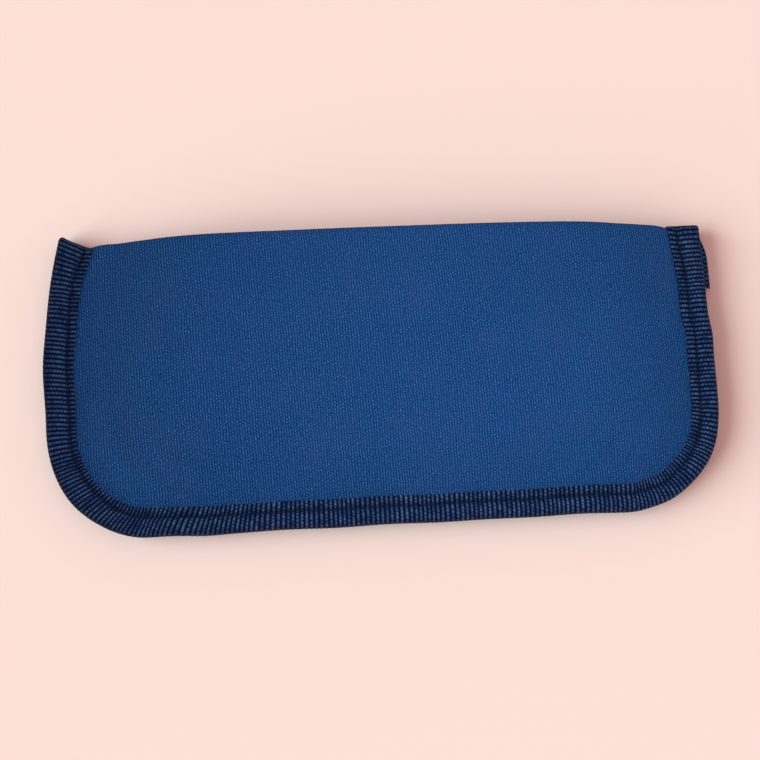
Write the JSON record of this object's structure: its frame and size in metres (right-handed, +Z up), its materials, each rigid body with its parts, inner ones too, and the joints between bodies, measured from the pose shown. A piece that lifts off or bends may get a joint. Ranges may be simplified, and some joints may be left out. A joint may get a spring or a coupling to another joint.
{
  "type": "eyeglasses case",
  "caption": "Soft slip-in eyeglasses case: two padded fabric panels open along one long edge, bound round the other three by a folded ribbed tape.",
  "frame": {"origin": "on the surface the case lies on, under the middle of the case", "axes": "+X to the case's right along its long side, +Y from the bottom seam towards the mouth, +Z up out of the front panel"},
  "size_m": [0.1852, 0.0834, 0.013],
  "materials": {
    "shell_cloth": "matt plain-weave polyester cloth, mid blue",
    "lining_cloth": "soft matt brushed cloth, dark grey-blue",
    "foam": "matt open-cell foam, grey",
    "binding_tape": "ribbed woven tape, navy, slight sheen on the ribs",
    "thread": "twisted polyester thread, dark navy"
  },
  "bodies": {
    "back": {"back_shell": "shell_cloth", "back_padding": "foam", "back_lining": "lining_cloth", "back_facing_thread": "thread", "front_held_border": "shell_cloth", "binding_tape": "binding_tape", "needle_thread": "thread", "bobbin_thread": "thread"},
    "front": {"front_shell": "shell_cloth", "front_padding": "foam", "front_lining": "lining_cloth", "front_facing_thread": "thread"}
  },
  "joints": [
    {"name": "mouth_opening", "type": "hinge", "parent": "back", "child": "front", "pos_m": [0, -0.033, 0.006], "axis": [1, 0, 0], "range_deg": [0, 14]}
  ]
}
